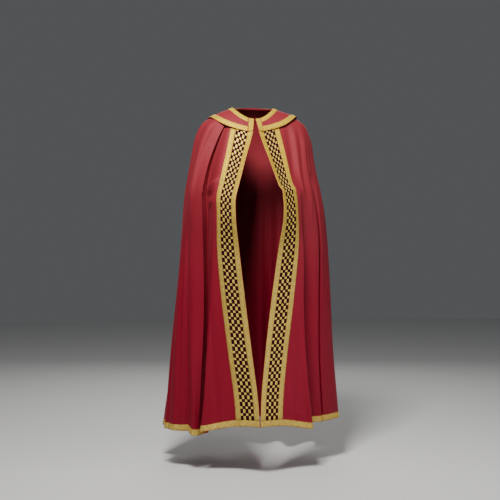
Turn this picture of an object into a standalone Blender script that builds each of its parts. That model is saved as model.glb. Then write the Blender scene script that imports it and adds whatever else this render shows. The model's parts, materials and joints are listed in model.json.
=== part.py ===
"""Cope vestment, worn open at the front, as closed cloth solids.

Units are metres, +Z is up and -Y is the front. The origin lies on the middle
line of the neck, level with the tops of the shoulders, where the wearer
carries the garment. The mantle is one surface: its rings run from the front
edge round the side to the centre back, and its columns run down from the
neckline to the hem. Everything that is sewn on it is made from its points.
"""

import math
from collections import namedtuple

import bpy
import numpy as np

# ---------------------------------------------------------------- sizes
SHOULDER_LEVEL = 1.490  # height of the origin above the floor
CLOTH = 0.0015  # wall of the mantle and of the collar
TRIM = 0.0012  # wall of the bands and galloons
SEAM = 0.0003  # clearance at seams and under trims
GALLOON = 0.025  # width of the gold galloon
CHECK_WIDTH = 0.060  # width of the check band between its galloons
ORPHREY = GALLOON + CHECK_WIDTH + GALLOON
HEM_GALLOON = 0.026
FOOT_JOIN = 0.097  # where the hem galloon meets the orphrey's foot strip
TRIM_INSET = 0.0012  # red cloth left showing outside a trim
LEFT_SIDE_SETBACK = 0.150  # how fast the wearer's left side hangs back
SETBACK_START = 0.45  # share of the way down where it starts to

COLLAR_FRONT = 0.070  # depth of the collar at its front ends
COLLAR_SHOULDER = 0.116  # depth of the collar over the shoulders
HOOD_BACK = 0.265  # depth of the hood at the centre back
HOOD_START = 0.55  # share of the way round where the collar widens into it
COLLAR_LIFT = SEAM + TRIM + SEAM  # clears the bands under the collar
BRIM_LIFT = {"right": 0.003, "left": 0.009}  # how far the collar's edge stands off

# Sections of the mantle, measured down the cloth. Heights are above the
# floor. right_yaw and left_yaw are how far the front bands turn away from
# straight ahead, and right_x and left_x are the reach of the two sides.
Section = namedtuple(
    "Section",
    "name share front_x front_y front_z right_yaw left_yaw right_x left_x side_z back_y back_z",
)
SECTIONS = (
    Section("neckline", 0.00, 0.002, -0.090, 1.498, 8, 8, 0.088, 0.088, 1.556, 0.075, 1.570),
    Section("collar", 0.05, 0.010, -0.135, 1.447, 40, 35, 0.156, 0.158, 1.528, 0.130, 1.527),
    Section("shoulder", 0.10, 0.027, -0.160, 1.386, 52, 49, 0.217, 0.226, 1.490, 0.158, 1.460),
    Section("armpit", 0.15, 0.046, -0.189, 1.327, 60, 57, 0.249, 0.256, 1.420, 0.177, 1.390),
    Section("chest", 0.20, 0.064, -0.219, 1.267, 57, 61, 0.264, 0.267, 1.345, 0.185, 1.318),
    Section("upper_arm", 0.25, 0.081, -0.248, 1.208, 56, 63, 0.277, 0.280, 1.271, 0.190, 1.245),
    Section("forearm", 0.30, 0.098, -0.272, 1.147, 56, 61, 0.290, 0.298, 1.198, 0.194, 1.171),
    Section("hands", 0.35, 0.099, -0.278, 1.079, 59, 58, 0.300, 0.314, 1.124, 0.199, 1.098),
    Section("hip", 0.45, 0.083, -0.246, 0.948, 48, 37, 0.314, 0.332, 0.974, 0.210, 0.953),
    Section("thigh", 0.60, 0.057, -0.226, 0.745, 40, 25, 0.333, 0.347, 0.750, 0.231, 0.735),
    Section("calf", 0.80, 0.024, -0.244, 0.475, 40, 27, 0.363, 0.361, 0.451, 0.262, 0.444),
    Section("ankle", 0.93, 0.005, -0.279, 0.300, 41, 28, 0.381, 0.377, 0.256, 0.283, 0.256),
    Section("hem", 1.00, 0.001, -0.300, 0.206, 41, 29, 0.391, 0.386, 0.151, 0.295, 0.155),
)

# Crests and hollows of the folds, from the front band round to the centre
# back. collar, elbow, hip and hem are the shares of the way round where each
# one lies at those levels, start is the share down the cloth where it begins,
# out, along and drop are its sizes at the hem, and power says how soon it
# grows to them.
Fold = namedtuple("Fold", "name collar elbow hip hem start out along drop power")
LEVELS = (0.06, 0.25, 0.45, 1.00)  # shares down the cloth of those four levels
FOLDS = {
    "right": (
        Fold("band", 0.000, 0.000, 0.000, 0.000, 0.00, 0.000, 0.000, 0.000, 1.0),
        Fold("panel_edge", 0.012, 0.012, 0.020, 0.150, 0.42, 0.016, 0.010, 0.010, 1.0),
        Fold("arm_hollow", 0.100, 0.195, 0.175, 0.195, 0.06, -0.095, -0.022, 0.028, 0.55),
        Fold("arm_crest", 0.155, 0.245, 0.202, 0.211, 0.05, 0.006, 0.000, 0.020, 0.7),
        Fold("soft_hollow", 0.215, 0.290, 0.232, 0.241, 0.34, -0.014, 0.000, 0.002, 1.0),
        Fold("side_panel", 0.340, 0.350, 0.350, 0.380, 0.20, 0.004, 0.000, -0.012, 1.0),
        Fold("side_hollow", 0.470, 0.470, 0.468, 0.464, 0.30, -0.086, 0.000, -0.006, 1.0),
        Fold("back_crest_1", 0.535, 0.540, 0.545, 0.552, 0.24, 0.030, 0.000, 0.004, 1.0),
        Fold("back_hollow_1", 0.600, 0.603, 0.610, 0.618, 0.22, -0.110, 0.004, -0.004, 1.0),
        Fold("back_crest_2", 0.665, 0.662, 0.660, 0.658, 0.30, 0.012, 0.000, 0.000, 1.0),
        Fold("back_hollow_2", 0.735, 0.728, 0.722, 0.714, 0.34, -0.058, -0.004, 0.002, 1.0),
        Fold("back_crest_3", 0.815, 0.812, 0.808, 0.800, 0.20, 0.034, 0.000, 0.005, 1.0),
        Fold("back_hollow_3", 0.900, 0.898, 0.896, 0.892, 0.22, -0.102, 0.000, -0.003, 1.0),
        Fold("back_middle", 1.000, 1.000, 1.000, 1.000, 0.30, 0.010, 0.000, 0.000, 1.0),
    ),
    "left": (
        Fold("band", 0.000, 0.000, 0.000, 0.000, 0.00, 0.000, 0.000, 0.000, 1.0),
        Fold("panel_edge", 0.012, 0.012, 0.020, 0.142, 0.42, 0.018, 0.008, 0.011, 1.0),
        Fold("arm_hollow", 0.120, 0.125, 0.140, 0.200, 0.28, -0.105, -0.025, 0.000, 0.9),
        Fold("inner_panel", 0.220, 0.220, 0.240, 0.300, 0.28, -0.045, 0.010, -0.016, 1.0),
        Fold("dark_hollow", 0.330, 0.335, 0.345, 0.362, 0.26, -0.072, 0.000, -0.024, 0.8),
        Fold("side_panel", 0.400, 0.405, 0.410, 0.435, 0.20, 0.012, 0.000, -0.030, 1.0),
        Fold("side_hollow", 0.490, 0.490, 0.492, 0.505, 0.30, -0.088, 0.000, -0.016, 1.0),
        Fold("back_crest_1", 0.565, 0.567, 0.572, 0.585, 0.28, 0.020, 0.000, -0.006, 1.0),
        Fold("back_hollow_1", 0.640, 0.640, 0.645, 0.655, 0.20, -0.088, 0.000, -0.002, 1.0),
        Fold("back_crest_2", 0.700, 0.703, 0.708, 0.716, 0.22, 0.034, 0.000, 0.004, 1.0),
        Fold("back_hollow_2", 0.770, 0.776, 0.784, 0.792, 0.20, -0.114, 0.004, -0.004, 1.0),
        Fold("back_crest_3", 0.838, 0.844, 0.850, 0.858, 0.32, 0.010, 0.000, 0.003, 1.0),
        Fold("back_hollow_3", 0.910, 0.913, 0.918, 0.924, 0.36, -0.052, 0.000, 0.002, 1.0),
        Fold("back_middle", 1.000, 1.000, 1.000, 1.000, 0.30, 0.010, 0.000, 0.000, 1.0),
    ),
}
SIDES = {"right": -1.0, "left": 1.0}  # the wearer's sides, by the sign of X

# ---------------------------------------------------------------- grid
FOLD_CELLS = 3  # columns from one crest or hollow to the next
CHECK_MIDDLE = ORPHREY / 2
BAND_STOPS = (0.0, TRIM_INSET, GALLOON, CHECK_MIDDLE, ORPHREY - GALLOON, ORPHREY)
COLLAR_ROWS = 3  # rows from the neck galloon to the edge galloon
COLLAR_EDGE_ROW = COLLAR_ROWS + 1
LOWER_ROWS = (0.03, 0.08, 0.16, 0.27, 0.40, 0.56, 0.78, 1.0)
RING_STEPS = 48  # straight steps along each quarter of a section
ROUNDNESS = 0.39  # handle length of a quarter, as a share of its chord
LENGTH_STEPS = 120  # straight steps that measure a column's length
BAND_WAY = 0.20  # share of the collar's half edge that the front band takes
TANGENT_REACH = 0.01  # half step that measures a section's direction


def smooth_value(knots, values, at):
    """Cubic through the knots, its slopes taken from their neighbours."""
    slopes = np.gradient(values, knots)
    i = int(np.clip(np.searchsorted(knots, at) - 1, 0, len(knots) - 2))
    span = knots[i + 1] - knots[i]
    f = (at - knots[i]) / span
    rise = values[i] * (1 + 2 * f) * (1 - f) ** 2 + values[i + 1] * f * f * (3 - 2 * f)
    return rise + span * (slopes[i] * f * (1 - f) ** 2 + slopes[i + 1] * f * f * (f - 1))


def ease(f):
    return f * f * (3 - 2 * f)


SHARES = np.array([row.share for row in SECTIONS])
COLUMNS = {
    field: np.array([getattr(row, field) for row in SECTIONS])
    for field in Section._fields
    if field not in ("name", "share")
}


def quarter(start, start_way, end, end_way):
    """Plan of a quarter of a section, as a curve with a handle at each end."""
    f = np.linspace(0, 1, RING_STEPS + 1)[:, None]
    reach = ROUNDNESS * np.linalg.norm(end - start)
    first, second = start + reach * start_way, end - reach * end_way
    return (
        start * (1 - f) ** 3
        + first * 3 * f * (1 - f) ** 2
        + second * 3 * f * f * (1 - f)
        + end * f**3
    )


def ring(side, share):
    """Section of one half without its folds, from front edge to centre back."""
    v = {name: smooth_value(SHARES, column, share) for name, column in COLUMNS.items()}
    setback = LEFT_SIDE_SETBACK * max(0.0, share - SETBACK_START) if side == "left" else 0.0
    yaw = math.radians(v[side + "_yaw"])
    front = np.array([v["front_x"], v["front_y"]])
    flank = np.array([v[side + "_x"], setback])
    back = np.array([0.0, v["back_y"]])
    backward = np.array([0.0, 1.0])
    inward = np.array([-1.0, 0.0])
    ahead = quarter(front, np.array([math.cos(yaw), math.sin(yaw)]), flank, backward)
    behind = quarter(flank, backward, back, inward)
    f = ease(np.linspace(0, 1, RING_STEPS + 1))
    heights_ahead = v["front_z"] + (v["side_z"] - v["front_z"]) * f
    heights_behind = v["side_z"] + (v["back_z"] - v["side_z"]) * f
    plan = np.vstack([ahead, behind[1:]])
    heights = np.concatenate([heights_ahead, heights_behind[1:]]) - SHOULDER_LEVEL
    return np.column_stack([plan, heights])


def fold_growth(fold, share):
    """How much of its size at the hem a fold has at this share of the way."""
    if share <= fold.start:
        return 0.0
    return ((share - fold.start) / (1 - fold.start)) ** fold.power


def fold_way(fold, share):
    """Share of the way round at which a crest or hollow lies."""
    ways = (fold.collar, fold.elbow, fold.hip, fold.hem)
    return smooth_value(LEVELS, ways, max(share, LEVELS[0]))


def cloth_ring(side, columns, share, depth=1.0):
    """Points of the mantle's outer face at one share of the way down. Columns
    0 to 1 cross the front band, and each whole number after that is the next
    crest or hollow. depth scales the folds."""
    points = ring(side, share)
    steps = np.linalg.norm(np.diff(points, axis=0), axis=1)
    lengths = np.concatenate([[0.0], np.cumsum(steps)])
    folds = FOLDS[side]
    ways = np.array([fold_way(fold, share) for fold in folds])
    sizes = np.array(
        [
            depth * fold_growth(fold, share) * np.array([fold.out, fold.along, fold.drop])
            for fold in folds
        ]
    )
    stretch = np.maximum(columns - 1, 0.0)
    k = np.minimum(stretch.astype(int), len(folds) - 2)
    f = stretch - k
    way = ways[k] + (ways[k + 1] - ways[k]) * f
    shift = sizes[k] + (sizes[k + 1] - sizes[k]) * ease(f)[:, None]
    along_ring = np.minimum(columns, 1.0) * ORPHREY + way * (lengths[-1] - ORPHREY)

    def at(distance):
        return np.column_stack([np.interp(distance, lengths, axis) for axis in points.T])

    reach = TANGENT_REACH * lengths[-1]
    tangent = at(along_ring + reach) - at(along_ring - reach)
    tangent[:, 2] = 0.0
    tangent /= np.linalg.norm(tangent, axis=1)[:, None]
    outward = np.column_stack([tangent[:, 1], -tangent[:, 0], np.zeros(len(columns))])
    place = at(along_ring) + shift[:, :1] * outward + shift[:, 1:2] * tangent
    place[:, 2] -= shift[:, 2]
    place[:, 0] *= SIDES[side]
    return place


def collar_depth(way):
    """Depth of the collar at a share of the way round from the front."""
    if way < 0.5:
        return COLLAR_FRONT + (COLLAR_SHOULDER - COLLAR_FRONT) * ease(way / 0.5)
    hood = ease(max(0.0, way - HOOD_START) / (1 - HOOD_START))
    return COLLAR_SHOULDER + (HOOD_BACK - COLLAR_SHOULDER) * hood


def row_depths(way, length):
    """Depths of the rows below the neckline, for a column of this length."""
    edge = collar_depth(way)
    inner = np.linspace(GALLOON, edge - GALLOON, COLLAR_ROWS)
    foot = length - HEM_GALLOON
    lower = edge + (foot - edge) * np.array(LOWER_ROWS)
    return np.concatenate([[0.0], inner, [edge], lower, [length]])


def mantle_columns(side):
    """Columns of the mantle's grid, and their share of the way round the
    collar."""
    last = len(FOLDS[side])
    band = np.array(BAND_STOPS) / ORPHREY
    columns = np.concatenate([band, np.linspace(1, last, FOLD_CELLS * (last - 1) + 1)[1:]])
    tops = [fold.collar for fold in FOLDS[side]]
    rest = np.interp(np.maximum(columns - 1, 0.0), range(last), tops)
    return columns, BAND_WAY * np.minimum(columns, 1.0) + (1 - BAND_WAY) * rest


def mantle_grid(side, depth=1.0):
    """Outer face of one half: rows down the cloth, columns round it. depth
    scales its folds."""
    columns, ways = mantle_columns(side)
    shares = np.linspace(0, 1, LENGTH_STEPS + 1)
    rings = np.array([cloth_ring(side, columns, share, depth) for share in shares])
    grid = []
    for way, line in zip(ways, rings.transpose(1, 0, 2)):
        steps = np.linalg.norm(np.diff(line, axis=0), axis=1)
        depths = np.concatenate([[0.0], np.cumsum(steps)])
        rows = row_depths(way, depths[-1])
        grid.append(np.column_stack([np.interp(rows, depths, axis) for axis in line.T]))
    grid = np.array(grid).transpose(1, 0, 2)
    grid[:, -1, 0] = SIDES[side] * SEAM / 2
    return grid


def outward_normals(grid):
    """Unit normals of a grid whose columns run clockwise, seen from above."""
    normals = np.cross(np.gradient(grid, axis=1), np.gradient(grid, axis=0))
    return normals / np.linalg.norm(normals, axis=2)[:, :, None]


def mantle_normals(side, grid):
    """Unit normals of one half, level with the seam at the centre back."""
    normals = -SIDES[side] * outward_normals(grid)
    normals[:, -1, 0] = 0.0
    return normals


def part_of(array, rows, columns):
    """Piece of a grid between fractional rows and columns."""
    for axis, (first, last) in enumerate((rows, columns)):
        inner = np.arange(math.floor(first) + 1, math.ceil(last))
        stops = np.concatenate([[first], inner, [last]])
        low = np.minimum(stops.astype(int), array.shape[axis] - 2)
        f = (stops - low).reshape([-1 if a == axis else 1 for a in range(3)])
        array = np.take(array, low, axis) * (1 - f) + np.take(array, low + 1, axis) * f
    return array


# ---------------------------------------------------------------- solids
def shell(name, face, back, finish, turn=None):
    """Closed wall between an outer grid and an inner grid of points. From the
    column turn on, its cells are split along their other diagonal."""
    rows, columns = face.shape[:2]
    points = np.vstack([face.reshape(-1, 3), back.reshape(-1, 3)])
    inner = rows * columns

    def corner(i, j):
        return i * columns + j

    triangles = []
    for i in range(rows - 1):
        for j in range(columns - 1):
            a, b = corner(i, j), corner(i + 1, j)
            c, d = corner(i + 1, j + 1), corner(i, j + 1)
            halves = [(a, b, c), (a, c, d)]
            if turn is not None and j >= turn:
                halves = [(a, b, d), (b, c, d)]
            triangles += halves
            triangles += [(inner + r, inner + q, inner + p) for p, q, r in halves]
    rim = [corner(i, 0) for i in range(rows)]
    rim += [corner(rows - 1, j) for j in range(1, columns)]
    rim += [corner(i, columns - 1) for i in range(rows - 2, -1, -1)]
    rim += [corner(0, j) for j in range(columns - 2, 0, -1)]
    for a, b in zip(rim, rim[1:] + rim[:1]):
        triangles += [(a, inner + a, inner + b), (a, inner + b, b)]
    corners = points[np.array(triangles)]
    volume = np.einsum("ij,ij->", corners[:, 0], np.cross(corners[:, 1], corners[:, 2]))
    if volume < 0:
        triangles = [triangle[::-1] for triangle in triangles]
    mesh = bpy.data.meshes.new(name)
    mesh.from_pydata(points.tolist(), [], triangles)
    mesh.shade_smooth()
    mesh.set_sharp_from_angle(angle=math.radians(60))
    obj = bpy.data.objects.new(name, mesh)
    obj.data.materials.append(make_material(name, *FINISHES[finish]))
    bpy.context.scene.collection.objects.link(obj)


def make_material(name, colour, roughness, metallic):
    material = bpy.data.materials.new(name)
    material.use_nodes = True
    bsdf = material.node_tree.nodes["Principled BSDF"]
    bsdf.inputs["Base Color"].default_value = (*colour, 1.0)
    bsdf.inputs["Roughness"].default_value = roughness
    bsdf.inputs["Metallic"].default_value = metallic
    return material


FINISHES = {
    "red_cloth": ((0.42, 0.02, 0.04), 0.85, 0.0),
    "gold_galloon": ((0.60, 0.40, 0.12), 0.50, 0.6),
    "check": ((0.16, 0.09, 0.05), 0.60, 0.2),
}


def trim(name, grid, normals, rows, columns, finish, turn=None):
    """Trim that follows a stretch of a grid, just clear of it."""
    base = part_of(grid, rows, columns)
    away = part_of(normals, rows, columns)
    if turn is not None:
        turn -= math.floor(columns[0])
    shell(name, base + away * (SEAM + TRIM), base + away * SEAM, finish, turn)


def band_column(distance):
    """Column at a distance in from the front edge."""
    return float(np.interp(distance, BAND_STOPS, range(len(BAND_STOPS))))


def make_half(side):
    """One half of the mantle, with its orphrey and its hem galloon."""
    grid = mantle_grid(side)
    normals = mantle_normals(side, grid)
    rows, columns = (edge - 1 for edge in grid.shape[:2])
    shell(f"mantle_{side}", grid, grid - normals * CLOTH, "red_cloth")
    hem = (rows - 1, rows - TRIM_INSET / HEM_GALLOON)
    drop = np.linalg.norm(grid[rows - 1, 0] - grid[rows - 2, 0])
    bands = (0, rows - 1 - SEAM / drop)
    inset, gap = TRIM_INSET, SEAM / 2
    check_end = ORPHREY - GALLOON
    strips = (
        ("inner_galloon", bands, inset, GALLOON - gap, "gold_galloon"),
        ("check_band", bands, GALLOON + gap, check_end - gap, "check"),
        ("outer_galloon", bands, check_end + gap, ORPHREY, "gold_galloon"),
        ("foot_galloon", hem, inset, FOOT_JOIN - gap, "gold_galloon"),
    )
    for name, stretch, first, last, finish in strips:
        span = (band_column(first), band_column(last))
        trim(f"{name}_{side}", grid, normals, stretch, span, finish)
    span = (band_column(FOOT_JOIN + gap), columns)
    trim(f"hem_galloon_{side}", grid, normals, hem, span, "gold_galloon")


def brim(side, way):
    """Heights of the collar off the mantle, from its neck edge down."""
    free = np.linspace(0, 1, COLLAR_EDGE_ROW + 1) ** 2
    return COLLAR_LIFT + BRIM_LIFT[side] * free * math.sin(math.pi * min(1.0, way)) ** 2


def make_collar():
    """Collar and hood in one piece, with their galloons. They pass over the
    tops of the folds."""
    rows = COLLAR_EDGE_ROW + 1
    grids = {side: mantle_grid(side, 0.0)[:rows] for side in SIDES}
    normals = {side: mantle_normals(side, grid) for side, grid in grids.items()}
    base = np.hstack([grids["right"], grids["left"][:, -2::-1]])
    away = np.hstack([normals["right"], normals["left"][:, -2::-1]])
    middle = base.shape[1] // 2
    base[:, middle, 0] = 0.0
    lifts = {
        side: np.array([brim(side, way) for way in mantle_columns(side)[1]]).T for side in SIDES
    }
    lift = np.hstack([lifts["right"], lifts["left"][:, -2::-1]])[:, :, None]
    face = base + away * (lift + CLOTH)
    shell("collar", face, base + away * lift, "red_cloth", middle)
    away = outward_normals(face)
    last = base.shape[1] - 1
    end = band_column(GALLOON)
    gap = SEAM / 2 / GALLOON
    inset = TRIM_INSET / GALLOON
    neck = (inset, 1 - gap)
    edge = (COLLAR_EDGE_ROW - 1 + gap, COLLAR_EDGE_ROW - inset)
    full = (inset, COLLAR_EDGE_ROW - inset)
    between = (end + gap, last - end - gap)
    gold = "gold_galloon"
    trim("neck_galloon", face, away, neck, between, gold, middle)
    trim("edge_galloon", face, away, edge, between, gold, middle)
    start = band_column(TRIM_INSET)
    ends = {"right": (start, end - gap), "left": (last - end + gap, last - start)}
    for side, span in ends.items():
        trim(f"end_galloon_{side}", face, away, full, span, gold, middle)


def build():
    for obj in list(bpy.data.objects):
        bpy.data.objects.remove(obj, do_unlink=True)
    for side in SIDES:
        make_half(side)
    make_collar()


build()
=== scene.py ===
"""Cope vestment: the finish of its cloth, orphreys and galloons.

Units are metres, +Z is up and -Y is the front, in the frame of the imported
solids. The mantle is worked out from its sections, folds and creases, and
every piece that is sewn on it is made from its points, moved out.
"""

import json
import math
from collections import namedtuple

import bpy
import numpy as np
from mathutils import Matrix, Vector

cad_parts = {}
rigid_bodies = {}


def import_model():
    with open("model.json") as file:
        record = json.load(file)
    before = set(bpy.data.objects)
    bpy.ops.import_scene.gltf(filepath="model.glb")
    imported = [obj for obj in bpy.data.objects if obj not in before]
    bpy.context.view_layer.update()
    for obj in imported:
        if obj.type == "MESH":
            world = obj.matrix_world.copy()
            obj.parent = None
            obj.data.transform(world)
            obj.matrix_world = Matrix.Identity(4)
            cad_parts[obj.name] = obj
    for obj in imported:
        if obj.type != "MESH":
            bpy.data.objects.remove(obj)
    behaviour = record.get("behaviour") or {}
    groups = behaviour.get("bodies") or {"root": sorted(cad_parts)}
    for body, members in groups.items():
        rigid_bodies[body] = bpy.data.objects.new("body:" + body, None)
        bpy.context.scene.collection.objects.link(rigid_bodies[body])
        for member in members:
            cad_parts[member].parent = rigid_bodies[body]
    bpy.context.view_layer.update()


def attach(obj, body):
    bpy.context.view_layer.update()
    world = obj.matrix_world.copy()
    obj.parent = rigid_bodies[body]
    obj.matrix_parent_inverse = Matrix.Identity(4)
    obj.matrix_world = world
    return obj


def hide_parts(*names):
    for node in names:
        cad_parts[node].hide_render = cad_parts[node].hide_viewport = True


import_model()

# ---------------------------------------------------------------- sizes
SHOULDER_LEVEL = 1.490  # height of the origin above the floor
CLOTH = 0.0015  # wall of the mantle and of the collar
TRIM = 0.0012  # wall of the bands and galloons
SEAM = 0.0003  # clearance at seams and under trims
GALLOON = 0.025
CHECK_WIDTH = 0.060
CHECK_END = GALLOON + CHECK_WIDTH
ORPHREY = CHECK_END + GALLOON
HEM_GALLOON = 0.026
FOOT_JOIN = 0.097  # where the hem galloon meets the orphrey's foot strip
TRIM_INSET = 0.0012  # red cloth left showing outside a trim
EDGE_ROUND = 0.0008  # how far in from its edge a trim has its full height
LEFT_SIDE_SETBACK = 0.150  # how fast the left flank goes back, by the share down
SETBACK_START = 0.45

# Depths of the collar and its hood, by the way round from the front end.
COLLAR_DEPTHS = (
    (0.00, 0.0740),
    (0.18, 0.0790),
    (0.30, 0.0900),
    (0.42, 0.1035),
    (0.52, 0.1120),
    (0.62, 0.1200),
    (0.74, 0.1500),
    (0.86, 0.2150),
    (1.00, 0.2650),
)
# How far the collar's edge stands off the mantle, by the way round.
BRIMS = {
    "right": ((0.0, 0.0), (0.18, 0.001), (0.36, 0.006), (0.55, 0.002), (0.72, 0.003), (1.0, 0.0)),
    "left": ((0.0, 0.0), (0.18, 0.001), (0.36, 0.004), (0.55, 0.009), (0.72, 0.005), (1.0, 0.0)),
}
COLLAR_LIFT = SEAM + TRIM + SEAM

# Sections of the mantle, measured down the cloth, with heights above the
# floor. A yaw is how far the front band turns away from straight ahead.
Section = namedtuple(
    "Section",
    "name share front_x front_y front_z right_yaw left_yaw right_x left_x side_z back_y back_z",
)
SECTIONS = (
    Section("neckline", 0.00, 0.002, -0.090, 1.498, 8, 8, 0.088, 0.088, 1.556, 0.075, 1.570),
    Section("collar", 0.05, 0.010, -0.135, 1.447, 40, 35, 0.156, 0.158, 1.528, 0.130, 1.527),
    Section("shoulder", 0.10, 0.027, -0.160, 1.386, 52, 49, 0.217, 0.226, 1.490, 0.158, 1.460),
    Section("armpit", 0.15, 0.046, -0.189, 1.327, 60, 57, 0.249, 0.256, 1.420, 0.177, 1.390),
    Section("chest", 0.20, 0.064, -0.219, 1.267, 57, 61, 0.264, 0.267, 1.345, 0.185, 1.318),
    Section("upper_arm", 0.25, 0.081, -0.248, 1.208, 56, 63, 0.277, 0.280, 1.271, 0.190, 1.245),
    Section("forearm", 0.30, 0.098, -0.272, 1.147, 56, 61, 0.290, 0.298, 1.198, 0.194, 1.171),
    Section("hands", 0.35, 0.099, -0.278, 1.079, 59, 58, 0.300, 0.314, 1.124, 0.199, 1.098),
    Section("hip", 0.45, 0.083, -0.246, 0.948, 48, 37, 0.314, 0.332, 0.974, 0.210, 0.953),
    Section("thigh", 0.60, 0.057, -0.226, 0.745, 40, 25, 0.333, 0.347, 0.750, 0.231, 0.735),
    Section("calf", 0.80, 0.024, -0.244, 0.475, 40, 27, 0.363, 0.361, 0.451, 0.262, 0.444),
    Section("ankle", 0.93, 0.005, -0.279, 0.300, 41, 28, 0.381, 0.377, 0.256, 0.283, 0.256),
    Section("hem", 1.00, 0.001, -0.300, 0.206, 41, 29, 0.391, 0.386, 0.151, 0.295, 0.155),
)

# Crests and hollows of the folds, from the front band round to the centre
# back. collar, elbow, hip and hem are the shares of the way round where each
# one lies at those levels, start is the share down the cloth where it begins,
# out, along and drop are its sizes at the hem, and power is how soon it grows
# to them.
Fold = namedtuple("Fold", "name collar elbow hip hem start out along drop power")
LEVELS = (0.06, 0.25, 0.45, 1.00)
FOLDS = {
    "right": (
        Fold("band", 0.000, 0.000, 0.000, 0.000, 0.00, 0.000, 0.000, 0.000, 1.0),
        Fold("panel_edge", 0.012, 0.012, 0.020, 0.150, 0.42, 0.016, 0.010, 0.010, 1.0),
        Fold("arm_hollow", 0.092, 0.180, 0.160, 0.195, 0.06, -0.095, -0.022, 0.028, 0.55),
        Fold("crest_lip", 0.105, 0.163, 0.130, 0.208, 0.05, -0.004, -0.020, 0.022, 0.3),
        Fold("arm_crest", 0.155, 0.245, 0.202, 0.211, 0.05, 0.006, -0.012, 0.020, 0.7),
        Fold("soft_hollow", 0.215, 0.290, 0.232, 0.241, 0.34, -0.014, 0.000, 0.002, 1.0),
        Fold("side_panel", 0.340, 0.350, 0.350, 0.380, 0.20, 0.004, 0.000, -0.012, 1.0),
        Fold("side_hollow", 0.470, 0.470, 0.468, 0.464, 0.30, -0.086, 0.000, -0.006, 1.0),
        Fold("back_crest_1", 0.535, 0.540, 0.545, 0.552, 0.24, 0.030, 0.000, 0.004, 1.0),
        Fold("back_hollow_1", 0.600, 0.603, 0.610, 0.618, 0.22, -0.110, 0.004, -0.004, 1.0),
        Fold("back_crest_2", 0.665, 0.662, 0.660, 0.658, 0.30, 0.012, 0.000, 0.000, 1.0),
        Fold("back_hollow_2", 0.735, 0.728, 0.722, 0.714, 0.34, -0.058, -0.004, 0.002, 1.0),
        Fold("back_crest_3", 0.815, 0.812, 0.808, 0.800, 0.20, 0.034, 0.000, 0.005, 1.0),
        Fold("back_hollow_3", 0.900, 0.898, 0.896, 0.892, 0.22, -0.102, 0.000, -0.003, 1.0),
        Fold("back_middle", 1.000, 1.000, 1.000, 1.000, 0.30, 0.010, 0.000, 0.000, 1.0),
    ),
    "left": (
        Fold("band", 0.000, 0.000, 0.000, 0.000, 0.00, 0.000, 0.000, 0.000, 1.0),
        Fold("panel_edge", 0.012, 0.012, 0.030, 0.142, 0.42, 0.018, 0.008, 0.011, 1.0),
        Fold("arm_hollow", 0.100, 0.090, 0.080, 0.178, 0.28, -0.100, -0.025, -0.004, 0.9),
        Fold("inner_panel", 0.220, 0.190, 0.188, 0.300, 0.28, -0.040, 0.004, -0.014, 1.0),
        Fold("dark_hollow", 0.280, 0.214, 0.208, 0.358, 0.24, -0.084, 0.000, -0.024, 0.7),
        Fold("side_lip", 0.310, 0.247, 0.240, 0.376, 0.24, -0.040, -0.050, -0.026, 1.2),
        Fold("side_panel", 0.400, 0.405, 0.410, 0.435, 0.20, 0.012, 0.000, -0.030, 1.0),
        Fold("side_hollow", 0.490, 0.490, 0.492, 0.505, 0.30, -0.088, 0.000, -0.016, 1.0),
        Fold("back_crest_1", 0.565, 0.567, 0.572, 0.585, 0.28, 0.020, 0.000, -0.006, 1.0),
        Fold("back_hollow_1", 0.640, 0.640, 0.645, 0.655, 0.20, -0.088, 0.000, -0.002, 1.0),
        Fold("back_crest_2", 0.700, 0.703, 0.708, 0.716, 0.22, 0.034, 0.000, 0.004, 1.0),
        Fold("back_hollow_2", 0.770, 0.776, 0.784, 0.792, 0.20, -0.114, 0.004, -0.004, 1.0),
        Fold("back_crest_3", 0.838, 0.844, 0.850, 0.858, 0.32, 0.010, 0.000, 0.003, 1.0),
        Fold("back_hollow_3", 0.910, 0.913, 0.918, 0.924, 0.36, -0.052, 0.000, 0.002, 1.0),
        Fold("back_middle", 1.000, 1.000, 1.000, 1.000, 0.30, 0.010, 0.000, 0.000, 1.0),
    ),
}
SIDES = {"right": -1.0, "left": 1.0}  # the wearer's sides, by the sign of X

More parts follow.
